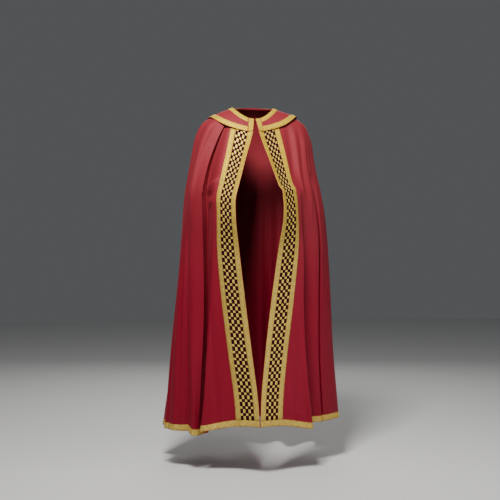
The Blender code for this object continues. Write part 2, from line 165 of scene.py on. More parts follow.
# Creases on top of the folds. Each runs through three places, given as the
# way round (0 at the orphrey, 1 at the centre back) and the share down the
# cloth. height is out of the cloth, width is half the crease's width, and
# lean makes its two flanks uneven.
Crease = namedtuple("Crease", "name way_1 down_1 way_2 down_2 way_3 down_3 height width lean")
CREASES = {
    "right": (
        Crease("shoulder_ridge", 0.172, 0.05, 0.232, 0.18, 0.250, 0.40, 0.011, 0.017, 0.2),
        Crease("forearm_ridge", 0.172, 0.298, 0.100, 0.268, -0.010, 0.236, 0.013, 0.010, 0.3),
        Crease("forearm_trough", 0.150, 0.312, 0.100, 0.296, 0.020, 0.284, -0.008, 0.008, 0.0),
        Crease("cuff_wrinkle", 0.140, 0.335, 0.085, 0.318, 0.010, 0.312, 0.006, 0.007, 0.3),
        Crease("shoulder_trough", 0.265, 0.06, 0.320, 0.18, 0.330, 0.42, -0.006, 0.014, 0.1),
        Crease("arm_ridge", 0.330, 0.07, 0.385, 0.24, 0.400, 0.60, 0.006, 0.018, -0.2),
        Crease("soft_valley", 0.246, 0.36, 0.236, 0.68, 0.243, 1.00, -0.013, 0.009, 0.2),
        Crease("soft_ridge", 0.214, 0.40, 0.208, 0.68, 0.212, 1.00, 0.005, 0.011, 0.0),
        Crease("flank_ridge", 0.300, 0.40, 0.297, 0.70, 0.310, 1.00, 0.005, 0.018, 0.3),
        Crease("flank_trough", 0.352, 0.44, 0.345, 0.70, 0.352, 1.00, -0.007, 0.014, 0.0),
        Crease("side_ridge", 0.425, 0.30, 0.425, 0.60, 0.432, 1.00, 0.006, 0.016, 0.2),
        Crease("panel_wave", 0.055, 0.42, 0.070, 0.66, 0.082, 1.00, -0.004, 0.022, 0.0),
        Crease("panel_lip", 0.035, 0.44, 0.092, 0.72, 0.146, 1.00, 0.007, 0.010, -0.4),
        Crease("panel_tuck", 0.060, 0.44, 0.122, 0.72, 0.172, 1.00, -0.012, 0.009, -0.4),
    ),
    "left": (
        Crease("panel_dip", 0.105, 0.05, 0.060, 0.16, 0.035, 0.27, -0.008, 0.020, 0.0),
        Crease("inner_ridge", 0.150, 0.07, 0.105, 0.18, 0.074, 0.33, 0.004, 0.012, 0.2),
        Crease("ridge_trough", 0.205, 0.08, 0.140, 0.20, 0.105, 0.36, -0.003, 0.009, 0.0),
        Crease("outer_ridge", 0.250, 0.09, 0.178, 0.22, 0.140, 0.42, 0.004, 0.012, -0.2),
        Crease("elbow_bulge", -0.020, 0.262, 0.020, 0.284, 0.065, 0.300, 0.007, 0.016, 0.0),
        Crease("shoulder_trough", 0.300, 0.10, 0.245, 0.24, 0.215, 0.40, -0.003, 0.010, 0.2),
        Crease("arm_ridge", 0.350, 0.12, 0.315, 0.24, 0.285, 0.46, 0.004, 0.014, 0.0),
        Crease("panel_lip", 0.030, 0.42, 0.085, 0.68, 0.140, 1.00, 0.008, 0.010, -0.4),
        Crease("panel_tuck", 0.050, 0.42, 0.120, 0.68, 0.168, 1.00, -0.014, 0.009, -0.4),
        Crease("flank_ridge", 0.440, 0.34, 0.445, 0.62, 0.462, 1.00, 0.006, 0.015, 0.2),
        Crease("panel_wave", 0.050, 0.44, 0.062, 0.68, 0.075, 1.00, -0.004, 0.022, 0.0),
    ),
}
BACK_CREASES = {
    "right": (
        Crease("shoulder_fall", 0.500, 0.09, 0.510, 0.20, 0.505, 0.52, 0.007, 0.016, 0.2),
        Crease("blade_trough", 0.560, 0.11, 0.575, 0.22, 0.572, 0.50, -0.006, 0.013, 0.0),
        Crease("blade_ridge", 0.640, 0.14, 0.650, 0.26, 0.648, 0.44, 0.006, 0.016, 0.3),
        Crease("spine_trough", 0.730, 0.17, 0.722, 0.30, 0.726, 0.56, -0.005, 0.012, 0.0),
        Crease("hood_fall", 0.860, 0.20, 0.872, 0.36, 0.880, 0.66, 0.005, 0.014, -0.2),
        Crease("low_ridge_1", 0.515, 0.55, 0.512, 0.78, 0.508, 1.00, 0.005, 0.013, 0.2),
        Crease("low_trough_1", 0.585, 0.60, 0.580, 0.80, 0.583, 1.00, -0.006, 0.011, 0.0),
        Crease("low_ridge_2", 0.655, 0.52, 0.660, 0.76, 0.655, 1.00, 0.006, 0.013, 0.3),
        Crease("low_trough_2", 0.810, 0.50, 0.806, 0.76, 0.812, 1.00, -0.006, 0.012, 0.0),
        Crease("low_ridge_3", 0.880, 0.64, 0.886, 0.84, 0.880, 1.00, 0.005, 0.012, 0.2),
    ),
    "left": (
        Crease("shoulder_fall", 0.470, 0.09, 0.475, 0.21, 0.480, 0.56, 0.007, 0.017, 0.0),
        Crease("blade_trough", 0.540, 0.10, 0.530, 0.24, 0.534, 0.46, -0.006, 0.012, 0.2),
        Crease("blade_ridge", 0.610, 0.13, 0.622, 0.27, 0.612, 0.50, 0.006, 0.015, 0.0),
        Crease("spine_trough", 0.745, 0.18, 0.752, 0.34, 0.744, 0.62, -0.006, 0.013, 0.2),
        Crease("hood_fall", 0.885, 0.21, 0.880, 0.33, 0.890, 0.58, 0.005, 0.013, 0.0),
        Crease("low_ridge_1", 0.535, 0.58, 0.540, 0.80, 0.534, 1.00, 0.006, 0.014, 0.2),
        Crease("low_trough_1", 0.605, 0.52, 0.612, 0.76, 0.604, 1.00, -0.005, 0.012, 0.0),
        Crease("low_ridge_2", 0.675, 0.62, 0.668, 0.82, 0.674, 1.00, 0.005, 0.012, 0.3),
        Crease("low_trough_2", 0.815, 0.56, 0.822, 0.78, 0.816, 1.00, -0.006, 0.012, 0.0),
        Crease("low_ridge_3", 0.890, 0.60, 0.884, 0.80, 0.892, 1.00, 0.005, 0.013, 0.2),
    ),
}

# How the stiff orphrey rolls forward: shares of the roll's height at places
# across the orphrey, and that height by the share of the way down the cloth.
ROLL_ACROSS = (
    (0.00, 0.00),
    (0.30, 0.40),
    (0.62, 0.88),
    (0.77, 1.00),
    (0.90, 0.50),
    (1.00, 0.06),
    (1.06, 0.00),
)
ROLL_DOWN = {
    "right": ((0.0, 0.0), (0.22, 0.0), (0.36, 0.008), (0.60, 0.010), (0.80, 0.010), (1.0, 0.004)),
    "left": ((0.0, 0.0), (0.22, 0.0), (0.36, 0.008), (0.50, 0.004), (0.80, 0.003), (1.0, 0.002)),
}

# ---------------------------------------------------------------- grid
FOLD_CELLS = (20, 11)  # columns from one fold to the next, ahead and behind
FOLDS_AHEAD = 6  # folds with the closer columns
SEAM_COLUMN = 0.02  # last column before the centre-back seam
COLLAR_FIELD_ROWS = 14  # rows of the collar between its galloons
COLLAR_CELLS = 84  # columns of half the collar, past its end galloon
COLLAR_REACH = 0.22  # share of the way down that the collar stays within
COLLAR_STEPS = 60  # sections that the collar's base is measured on
MANTLE_ROWS = 132  # rows of the mantle above its hem galloon
TRIM_CELLS = 4  # cells across a galloon, inside its rounded edges
CHECK_CELLS = 10
RING_STEPS = 64  # steps round a quarter of a section
ROUNDNESS = 0.39  # reach of a quarter's handles, as a share of its chord
LENGTH_STEPS = 150  # sections that the mantle's columns are measured on
TANGENT_REACH = 0.01  # share of the way round that a tangent is taken over
CREASE_STEPS = 24
TINY = 1e-9  # keeps a crease's step from being nothing
CREASE_FADE = 0.3  # share of a crease's length that it fades over
GIRTHS = ((0.00, 0.30), (0.25, 0.78), (1.00, 1.60))  # way round, by the share down


def smooth_value(knots, values, at):
    """Cubic through the knots, its slopes taken from their neighbours."""
    slopes = np.gradient(values, knots)
    i = int(np.clip(np.searchsorted(knots, at) - 1, 0, len(knots) - 2))
    span = knots[i + 1] - knots[i]
    f = (at - knots[i]) / span
    rise = values[i] * (1 + 2 * f) * (1 - f) ** 2 + values[i + 1] * f * f * (3 - 2 * f)
    return rise + span * (slopes[i] * f * (1 - f) ** 2 + slopes[i + 1] * f * f * (f - 1))


def ease(f):
    return f * f * (3 - 2 * f)


SHARES = np.array([row.share for row in SECTIONS])
COLUMNS = {
    field: np.array([getattr(row, field) for row in SECTIONS])
    for field in Section._fields
    if field not in ("name", "share")
}


def quarter(start, start_way, end, end_way):
    """Plan of a quarter of a section, as a curve with a handle at each end."""
    f = np.linspace(0, 1, RING_STEPS + 1)[:, None]
    reach = ROUNDNESS * np.linalg.norm(end - start)
    first, second = start + reach * start_way, end - reach * end_way
    return (
        start * (1 - f) ** 3
        + first * 3 * f * (1 - f) ** 2
        + second * 3 * f * f * (1 - f)
        + end * f**3
    )


def ring(side, share):
    """Section of one half without its folds, from front edge to centre back."""
    v = {name: smooth_value(SHARES, column, share) for name, column in COLUMNS.items()}
    setback = LEFT_SIDE_SETBACK * max(0.0, share - SETBACK_START) if side == "left" else 0.0
    yaw = math.radians(v[side + "_yaw"])
    front = np.array([v["front_x"], v["front_y"]])
    flank = np.array([v[side + "_x"], setback])
    back = np.array([0.0, v["back_y"]])
    backward = np.array([0.0, 1.0])
    inward = np.array([-1.0, 0.0])
    ahead = quarter(front, np.array([math.cos(yaw), math.sin(yaw)]), flank, backward)
    behind = quarter(flank, backward, back, inward)
    f = ease(np.linspace(0, 1, RING_STEPS + 1))
    heights_ahead = v["front_z"] + (v["side_z"] - v["front_z"]) * f
    heights_behind = v["side_z"] + (v["back_z"] - v["side_z"]) * f
    plan = np.vstack([ahead, behind[1:]])
    heights = np.concatenate([heights_ahead, heights_behind[1:]]) - SHOULDER_LEVEL
    return np.column_stack([plan, heights])


def distances(points, axis=0):
    """Distances along a line of points, or along one axis of a grid."""
    steps = np.linalg.norm(np.diff(points, axis=axis), axis=-1)
    zero = np.zeros_like(np.take(steps, [0], axis))
    return np.concatenate([zero, np.cumsum(steps, axis)], axis)


def between_rows(table, at):
    """Values of a two-column table, straight from one row to the next."""
    places, values = np.array(table).T
    return np.interp(at, places, values)


def resampled(points, lengths, at):
    """Points of a line at new distances along it."""
    return np.column_stack([np.interp(at, lengths, axis) for axis in points.T])


def fold_growth(fold, share):
    """How much of its size at the hem a fold has at this share of the way."""
    if share <= fold.start:
        return 0.0
    return ((share - fold.start) / (1 - fold.start)) ** fold.power


def fold_way(fold, share):
    """Share of the way round at which a crest or hollow lies."""
    ways = (fold.collar, fold.elbow, fold.hip, fold.hem)
    return smooth_value(LEVELS, ways, max(share, LEVELS[0]))


def cloth_ring(side, columns, share):
    """Points of the mantle's outer face at one share of the way down, their
    way round and their distance from the front edge. Columns 0 to 1 cross
    the front band, and each whole number after that is the next crest or
    hollow."""
    points = ring(side, share)
    lengths = distances(points)
    folds = FOLDS[side]
    ways = np.array([fold_way(fold, share) for fold in folds])
    sizes = np.array(
        [
            fold_growth(fold, share) * np.array([fold.out, fold.along, fold.drop])
            for fold in folds
        ]
    )
    stretch = np.maximum(columns - 1, 0.0)
    k = np.minimum(stretch.astype(int), len(folds) - 2)
    f = stretch - k
    way = ways[k] + (ways[k + 1] - ways[k]) * f
    shift = sizes[k] + (sizes[k + 1] - sizes[k]) * ease(f)[:, None]
    along_ring = np.minimum(columns, 1.0) * ORPHREY + way * (lengths[-1] - ORPHREY)
    reach = TANGENT_REACH * lengths[-1]
    tangent = resampled(points, lengths, along_ring + reach)
    tangent -= resampled(points, lengths, along_ring - reach)
    tangent[:, 2] = 0.0
    tangent /= np.linalg.norm(tangent, axis=1)[:, None]
    outward = np.column_stack([tangent[:, 1], -tangent[:, 0], np.zeros(len(columns))])
    place = resampled(points, lengths, along_ring)
    place = place + shift[:, :1] * outward + shift[:, 1:2] * tangent
    place[:, 2] -= shift[:, 2]
    place[:, 0] *= SIDES[side]
    return np.column_stack([place, way, along_ring])


def collar_depth(way):
    """Depth of the collar at a share of the way round its neck edge."""
    ways, depths = np.array(COLLAR_DEPTHS).T
    return smooth_value(ways, depths, way)


def strip_lines(first, last, cells):
    """Lines across a trim, close together at its edges, to round them."""
    inner = np.linspace(first + EDGE_ROUND, last - EDGE_ROUND, cells + 1)
    return [first, *inner, last]


# Distances in from the front edge of each ribbon, and of the lines in them.
HALF_SEAM = SEAM / 2
INNER_SPAN = (TRIM_INSET, GALLOON - HALF_SEAM)
CHECK_SPAN = (GALLOON + HALF_SEAM, CHECK_END - HALF_SEAM)
OUTER_SPAN = (CHECK_END + HALF_SEAM, ORPHREY)
FOOT_SPAN = (TRIM_INSET, FOOT_JOIN - HALF_SEAM)
BAND_LINES = np.array(
    [0.0]
    + strip_lines(*INNER_SPAN, TRIM_CELLS)
    + strip_lines(*CHECK_SPAN, CHECK_CELLS)
    + strip_lines(*OUTER_SPAN, TRIM_CELLS)
)
TRIM_LINES = TRIM_CELLS + 3  # lines across a galloon
NECK_ROWS = (1, TRIM_LINES)  # first and last row of the neck galloon
EDGE_ROWS = (TRIM_LINES + COLLAR_FIELD_ROWS, 2 * TRIM_LINES + COLLAR_FIELD_ROWS - 1)
COLLAR_EDGE_ROW = EDGE_ROWS[1] + 1
HEM_ROW = MANTLE_ROWS + TRIM_LINES


def mantle_depths(length):
    """Depths of the mantle's rows, for a column of this length."""
    foot = length - HEM_GALLOON
    upper = np.linspace(0.0, foot - SEAM, MANTLE_ROWS)
    return np.concatenate([upper, strip_lines(foot, length - TRIM_INSET, TRIM_CELLS), [length]])


def collar_depths(edge):
    """Depths of the collar's rows, for a column of this length."""
    neck = strip_lines(*INNER_SPAN, TRIM_CELLS)
    rim = strip_lines(edge - GALLOON + HALF_SEAM, edge - TRIM_INSET, TRIM_CELLS)
    field = np.linspace(neck[-1], rim[0], COLLAR_FIELD_ROWS + 1)[1:-1]
    return np.concatenate([[0.0], neck, field, rim, [edge]])


def stations(line, depths):
    """Values of a column of points at depths below its first point."""
    return resampled(line, distances(line[:, :3]), depths)


Cloth = namedtuple("Cloth", "face normals across up")


def mantle_half(side):
    """Outer face of one half: rows down the cloth, columns round it, with
    the distances from the front edge and up from the hem."""
    last = len(FOLDS[side])
    close, wide = FOLD_CELLS
    ahead = np.linspace(1, 1 + FOLDS_AHEAD, close * FOLDS_AHEAD + 1)[1:]
    behind = np.linspace(1 + FOLDS_AHEAD, last, wide * (last - 1 - FOLDS_AHEAD) + 1)[1:-1]
    folds = np.concatenate([ahead, behind])
    columns = np.concatenate([BAND_LINES / ORPHREY, folds, [last - SEAM_COLUMN, last]])
    shares = np.linspace(0, 1, LENGTH_STEPS + 1)
    rings = np.array([cloth_ring(side, columns, share) for share in shares])
    grid = []
    for line in rings.transpose(1, 0, 2):
        length = distances(line[:, :3])[-1]
        depths = mantle_depths(length)
        line = np.column_stack([line, shares])
        grid.append(np.column_stack([stations(line, depths), length - depths]))
    grid = np.array(grid).transpose(1, 0, 2)
    face, way, across, share, up = np.split(grid, [3, 4, 5, 6], axis=2)
    normals = -SIDES[side] * outward_normals(face)
    relief = creasing(side, way[..., 0], share[..., 0], up[0, 0, 0])
    roll = between_rows(ROLL_ACROSS, columns)
    relief += roll * between_rows(ROLL_DOWN[side], share[..., 0])
    face = face + normals * relief[..., None]
    spread_band(face)
    face[:, -1, 0] = -SIDES[side] * SEAM / 2
    normals = -SIDES[side] * outward_normals(face)
    normals[:, -1, 0] = 0.0
    return Cloth(face, normals, across[..., 0], up[..., 0])


def spread_band(face):
    """Give the ribbons of the front band their own widths again, in place."""
    last = len(BAND_LINES)
    for row in face[:, :last]:
        lengths = distances(row)
        row[:] = resampled(row, lengths, BAND_LINES * lengths[-1] / ORPHREY)


def collar_base(side):
    """Where the collar lies on the mantle, without the folds: rows down from
    the neckline, columns round from the front end, and their ways round."""
    rings = [ring(side, share) for share in np.linspace(0, COLLAR_REACH, COLLAR_STEPS + 1)]
    neck = distances(rings[0])[-1]
    lines = np.concatenate(
        [
            [0.0],
            strip_lines(*INNER_SPAN, TRIM_CELLS),
            np.linspace(GALLOON, neck, COLLAR_CELLS + 1)[1:],
        ]
    )
    beyond = np.maximum(lines - GALLOON, 0.0) / (neck - GALLOON)
    paths = []
    for points in rings:
        lengths = distances(points)
        start = (neck - GALLOON) / (lengths[-1] - GALLOON)
        spread = start * beyond + (1 - start) * beyond**2
        along = np.minimum(lines, GALLOON) + (lengths[-1] - GALLOON) * spread
        paths.append(resampled(points, lengths, along) * (SIDES[side], 1, 1))
    ways = lines / neck
    grid = [
        stations(line, collar_depths(collar_depth(way)))
        for way, line in zip(ways, np.array(paths).transpose(1, 0, 2))
    ]
    return np.array(grid).transpose(1, 0, 2), ways


def creasing(side, way, share, length):
    """Height of the creases over the folds, over the whole of one half."""
    total = np.zeros(way.shape)
    f = np.linspace(0, 1, CREASE_STEPS + 1)[:, None]
    weights = ((1 - f) * (1 - 2 * f), 4 * f * (1 - f), f * (2 * f - 1))
    for crease in CREASES[side] + BACK_CREASES[side]:
        # Its three places, each a way round and a share down.
        first, second, third = np.reshape(crease[1:7], (3, 2))
        path = weights[0] * first + weights[1] * second + weights[2] * third
        total += crease_height(crease, path, way, share, length)
    return total


def crease_height(crease, path, way, share, length):
    """One crease: a soft ridge or trough along its path, fading at its ends."""
    girth = between_rows(GIRTHS, path[:, 1])
    best = np.full(way.shape, np.inf)
    offset = np.zeros(way.shape)
    along = np.zeros(way.shape)
    for i, ((a, b), wide) in enumerate(zip(zip(path[:-1], path[1:]), girth)):
        run = (b - a) * (wide, length)
        span = np.linalg.norm(run) + TINY
        du, dv = (way - a[0]) * wide, (share - a[1]) * length
        t = np.clip((du * run[0] + dv * run[1]) / span**2, 0, 1)
        gap = np.hypot(du - t * run[0], dv - t * run[1])
        nearer = gap < best
        best = np.where(nearer, gap, best)
        turn = du * run[1] - dv * run[0]
        offset = np.where(nearer, np.sign(turn) * gap, offset)
        along = np.where(nearer, (i + t) / CREASE_STEPS, along)
    widths = crease.width * (1 + crease.lean * np.sign(offset))
    fade = ease(np.clip(along / CREASE_FADE, 0, 1))
    if crease.down_3 < 1:
        fade = fade * ease(np.clip((1 - along) / CREASE_FADE, 0, 1))
    return crease.height * np.exp(-((offset / widths) ** 2)) * fade


def outward_normals(grid):
    """Unit normals of a grid whose columns run clockwise, seen from above."""
    normals = np.cross(np.gradient(grid, axis=1), np.gradient(grid, axis=0))
    return normals / np.linalg.norm(normals, axis=2)[:, :, None]


def part_of(array, rows, columns):
    """Piece of a grid between fractional rows and columns."""
    for axis, (first, last) in enumerate((rows, columns)):
        inner = np.arange(math.floor(first) + 1, math.ceil(last))
        stops = np.concatenate([[first], inner, [last]])
        low = np.minimum(stops.astype(int), array.shape[axis] - 2)
        f = (stops - low).reshape([-1 if a == axis else 1 for a in range(array.ndim)])
        array = np.take(array, low, axis) * (1 - f) + np.take(array, low + 1, axis) * f
    return array


# ---------------------------------------------------------------- pieces
CUT_MAP = "cut"  # distances on the flat cloth, in metres
BORDER_HEIGHT = 0.5  # height of a trim along its border, as a share


def shell(name, face, back, cut, finish):
    """Closed wall between an outer grid and an inner grid of points."""
    rows, columns = face.shape[:2]
    count = rows * columns
    points = np.vstack([face.reshape(-1, 3), back.reshape(-1, 3)])
    index = np.arange(count).reshape(rows, columns)
    outer = np.stack([index[:-1, :-1], index[1:, :-1], index[1:, 1:], index[:-1, 1:]], -1)
    outer = outer.reshape(-1, 4)
    inner = outer[:, ::-1] + count
    rim = np.concatenate([index[:-1, 0], index[-1, :-1], index[:0:-1, -1], index[0, :0:-1]])
    ahead = np.roll(rim, -1)
    edge = np.stack([rim, rim + count, ahead + count, ahead], -1)
    quads = np.concatenate([outer, inner, edge])
    corners = points[quads]
    volume = np.einsum("ij,ij->", corners[:, 0], np.cross(corners[:, 1], corners[:, 2]))
    volume += np.einsum("ij,ij->", corners[:, 0], np.cross(corners[:, 2], corners[:, 3]))
    if volume < 0:
        quads = quads[:, ::-1]
    mesh = bpy.data.meshes.new(name)
    mesh.from_pydata(points.tolist(), [], quads.tolist())
    mesh.shade_smooth()
    layer = mesh.uv_layers.new(name=CUT_MAP)
    flat = np.vstack([cut.reshape(-1, 2)] * 2)
    layer.uv.foreach_set("vector", flat[quads.ravel()].astype(np.float32).ravel())
    obj = bpy.data.objects.new(name, mesh)
    mesh.materials.append(FINISHES[finish])
    bpy.context.scene.collection.objects.link(obj)


def trim_cut(base, run):
    """Distances across and along a trim that runs down or round."""
    down = distances(base, 0)
    round_ = distances(base, 1)
    if run == "down":
        middle = down[:, [base.shape[1] // 2]]
        return np.stack([round_, middle[-1] - middle + 0 * round_], -1)
    middle = round_[[base.shape[0] // 2]]
    return np.stack([down[-1] - down, middle + 0 * down], -1)


def rounded(rows, columns, amount):
    """One inside a trim and less along its border."""
    full = np.ones((rows, columns, 1))
    for border in (full[0], full[-1], full[:, 0], full[:, -1]):
        border[...] = amount
    return full


def trim(name, grid, normals, rows, columns, finish, run):
    """Trim that follows a stretch of a grid, just clear of it."""
    base = part_of(grid, rows, columns)
    away = part_of(normals, rows, columns)
    height = SEAM + TRIM * rounded(*base.shape[:2], BORDER_HEIGHT)
    shell(name, base + away * height, base + away * SEAM, trim_cut(base, run), finish)


def line_of(distance):
    """Column at a distance in from the front edge."""
    return float(np.interp(distance, BAND_LINES, range(len(BAND_LINES))))


# Ribbons at the front edge: the rows each one covers, its span in from the
# edge, its finish and whether its length runs down the mantle or round it.
BAND_ROWS = (0, MANTLE_ROWS - 1)
HEM_ROWS = (MANTLE_ROWS, HEM_ROW - 1)
Strip = namedtuple("Strip", "piece rows span finish run")
STRIPS = (
    Strip("inner_galloon", BAND_ROWS, INNER_SPAN, "gold_galloon", "down"),
    Strip("check_band", BAND_ROWS, CHECK_SPAN, "check_band", "down"),
    Strip("outer_galloon", BAND_ROWS, OUTER_SPAN, "gold_galloon", "down"),
    Strip("foot_galloon", HEM_ROWS, FOOT_SPAN, "gold_galloon", "round"),
)


def make_half(side, cloth):
    """One half of the mantle, with its orphrey and its hem galloon."""
    grid, normals = cloth.face, cloth.normals
    last = grid.shape[1] - 1
    cut = np.stack([cloth.across, cloth.up], -1)
    shell(f"mantle_{side}_cloth", grid, grid - normals * CLOTH, cut, "red_cloth")
    for strip in STRIPS:
        span = tuple(line_of(distance) for distance in strip.span)
        name = f"{strip.piece}_{side}_ribbon"
        trim(name, grid, normals, strip.rows, span, strip.finish, strip.run)
    span = (line_of(FOOT_JOIN + HALF_SEAM), last)
    name = f"hem_galloon_{side}_ribbon"
    trim(name, grid, normals, HEM_ROWS, span, "gold_galloon", "round")


def brim(side, way, row):
    """Height of the collar off the mantle's outer face."""
    ways, heights = np.array(BRIMS[side]).T
    return COLLAR_LIFT + smooth_value(ways, heights, way) * (row / COLLAR_EDGE_ROW) ** 2


def make_collar():
    """Collar and hood in one piece, with their galloons."""
    right, ways = collar_base("right")
    left, left_ways = collar_base("left")
    base = np.hstack([right, left[:, -2::-1]])
    places = [("right", way) for way in ways] + [("left", way) for way in left_ways[-2::-1]]
    away = outward_normals(base)
    rows = range(base.shape[0])
    lift = np.array([[brim(side, way, row) for side, way in places] for row in rows])[:, :, None]
    face = base + away * (lift + CLOTH)
    cut = trim_cut(face, "round")
    shell("collar_cloth", face, base + away * lift, cut, "red_cloth")
    away = outward_normals(face)
    last = base.shape[1] - 1
    end = TRIM_LINES
    between = (end + 1, last - end - 1)
    gold = "gold_galloon"
    trim("neck_galloon_ribbon", face, away, NECK_ROWS, between, gold, "round")
    trim("edge_galloon_ribbon", face, away, EDGE_ROWS, between, gold, "round")
    ends = {"right": (1, end), "left": (last - end, last - 1)}
    for side, span in ends.items():
        rows = (1, COLLAR_EDGE_ROW - 1)
        trim(f"end_galloon_{side}_ribbon", face, away, rows, span, gold, "down")


# ---------------------------------------------------------------- finishes
# Threads of each cloth: their pitches, and the threads in one repeat.
RED_THREADS = {"warp": 0.00055, "weft": 0.0006, "repeat": 3.0}
GOLD_THREADS = {"warp": 0.0011, "weft": 0.0007, "repeat": 4.0}
CHECK_THREADS = {"warp": 0.0006, "weft": 0.0005, "repeat": 4.0}

# How uneven each cloth is: its patches and its streaks to a metre.
RED_UNEVENNESS = {"patch": 9.0, "streak": 900.0}
GOLD_UNEVENNESS = {"patch": 26.0, "streak": 700.0}
CHECK_UNEVENNESS = {"patch": 30.0, "streak": 800.0}

# Colours, each from its darker patches to its lighter ones.
DEEP_RED = ((0.170, 0.0018, 0.0125, 1), (0.220, 0.0028, 0.0170, 1))
# Painted sheen: the red towards the shoulders, paler where the light falls.
PALE_RED = ((0.170, 0.0150, 0.0200, 1), (0.220, 0.0200, 0.0260, 1))
# Painted light: the gold is paler and brighter low down and deeper up top, for how the light
# falls.
PALE_GOLD = ((0.53, 0.355, 0.073, 1), (0.90, 0.630, 0.132, 1))
DEEP_GOLD = ((0.52, 0.335, 0.016, 1), (0.88, 0.580, 0.024, 1))
CHECK_GOLD = ((0.70, 0.44, 0.050, 1), (1.0, 0.68, 0.085, 1))
CHECK_NIGHT = ((0.022, 0.0004, 0.0050, 1), (0.042, 0.0010, 0.0090, 1))
CHECK_OUTLINE = (1.0, 0.79, 0.20, 1)

# Colours each cloth darkens to: painted shade between its threads and in the dents of its
# stitches, and the red's own darker streaks.
RED_SHADE = (0.09, 0.0014, 0.008, 1)
GOLD_SHADE = (0.17, 0.10, 0.025, 1)
CHECK_SHADE = (0.010, 0.005, 0.006, 1)

# Tints of what each cloth reflects.
RED_GLOSS = (1.0, 0.40, 0.45, 1)
RED_SHEEN = (1.0, 0.14, 0.18, 1)
GOLD_GLOSS = (1.0, 0.78, 0.30, 1)
CHECK_GLOSS = (1.0, 0.78, 0.40, 1)

# Darker spots in the gold: their shape, how many to a metre, how rough, where
# they begin and end, and how much of their colour they take.
Spots = namedtuple("Spots", "stretch scale detail low high share colour")
MOTTLE = Spots(0.60, 150.0, 3.0, 0.50, 0.64, 0.55, (0.24, 0.130, 0.030, 1))
FLECKS = Spots(0.55, 420.0, 1.0, 0.61, 0.70, 0.65, (0.16, 0.095, 0.022, 1))

# Heights between which a colour changes over from the hem to the shoulders.
# Painted sheen: the red is paler towards the shoulders, where the light falls.
RED_PAINTED_SHEEN_HEIGHTS = (-0.85, -0.05)
# Painted light: the gold is paler and brighter low down and deeper up top, for how the light
# falls.
GOLD_PAINTED_LIGHT_HEIGHTS = (-0.60, -0.10)

# How deep the relief of each cloth is.
RED_THREAD_DEPTH = 0.00010
RED_STREAK_DEPTH = 0.0002
RED_DENT_DEPTH = 0.0005
GOLD_THREAD_DEPTH = 0.00022
GOLD_CORD_DEPTH = 0.0003
CHECK_THREAD_DEPTH = 0.00016
CHECK_GOLD_DEPTH = 0.00025

STITCHING = HEM_GALLOON + 0.018  # height of the hem's stitches above the hem
SEWN_IN = 0.0030  # distance of a galloon's stitches from its edges
CORD = (0.0012, 0.0024)  # where the cord at a galloon's edge falls away
DENT_WIDTHS = (0.0002, 0.0012)  # where the dent of a row of stitches ends

# The check: its columns, its tall and short rows, how ragged its lines are,
# and where its dark cells and its gold outline end.
COLUMN_WIDTH = CHECK_WIDTH / 5
TALL_ROW = 0.0174
SHORT_ROW = 0.0112
ROW_PAIR = TALL_ROW + SHORT_ROW
RAGGED = 0.0009
RAGGED_SCALE = 1400.0
CORNER = 0.0008
DARK_ENDS = (-0.0017, -0.0012)
OUTLINE_ENDS = (0.0022, 0.0034)


class Nodes:
    """Adds nodes to a shader tree. An input is a number, a colour or the
    output of another node."""

    def __init__(self, tree):
        self.tree = tree

    def feed(self, socket, value):
        if isinstance(value, bpy.types.NodeSocket):
            self.tree.links.new(value, socket)
        else:
            socket.default_value = value

    def feed_all(self, sockets, values):
        for socket, value in zip(sockets, values):
            self.feed(socket, value)

    def fill(self, node, inputs):
        """Feeds a node's inputs by their names."""
        self.feed_all([node.inputs[name] for name in inputs], inputs.values())

    def add(self, kind, inputs=(), **settings):
        node = self.tree.nodes.new(kind)
        for name, value in settings.items():
            setattr(node, name, value)
        self.fill(node, dict(inputs))
        return node

    def math(self, operation, *values):
        node = self.add("ShaderNodeMath", operation=operation)
        self.feed_all(node.inputs, values)
        return node.outputs[0]

    def blend(self, factor, first, second):
        """Colour between two, by a mask."""
        node = self.add("ShaderNodeMix", data_type="RGBA")
        sockets = (node.inputs[0], node.inputs[6], node.inputs[7])
        self.feed_all(sockets, (factor, first, second))
        return node.outputs[2]

    def ramp(self, value, low, high):
        """0 below low, 1 above high, and a soft step between."""
        node = self.add("ShaderNodeMapRange", interpolation_type="SMOOTHSTEP")
        self.feed_all(node.inputs, (value, low, high, 0.0, 1.0))
        return node.outputs[0]

    def height(self):
        """Height in the part's own frame, in metres."""
        place = self.add("ShaderNodeTexCoord").outputs["Object"]
        return self.add("ShaderNodeSeparateXYZ", {"Vector": place}).outputs["Z"]

    def noise(self, place, scale, detail):
        inputs = {"Vector": place, "Scale": scale, "Detail": detail}
        return self.add("ShaderNodeTexNoise", inputs).outputs["Fac"]

    def stretched(self, place, across, up):
        """Place with its two directions scaled apart."""
        inputs = {"Vector": place, "Scale": (across, up, 1.0)}
        return self.add("ShaderNodeMapping", inputs).outputs["Vector"]


def group(name, inputs, outputs, build):
    """Effect for several finishes. build makes its outputs from its inputs."""
    tree = bpy.data.node_groups.new(name, "ShaderNodeTree")
    for label in inputs:
        kind = "NodeSocketVector" if label == "Place" else "NodeSocketFloat"
        tree.interface.new_socket(label, in_out="INPUT", socket_type=kind)
    for label in outputs:
        tree.interface.new_socket(label, in_out="OUTPUT", socket_type="NodeSocketFloat")
    nodes = Nodes(tree)
    given = tree.nodes.new("NodeGroupInput").outputs
    made = build(nodes, *[given[label] for label in inputs])
    result = tree.nodes.new("NodeGroupOutput")
    nodes.feed_all(result.inputs, made)
    return tree


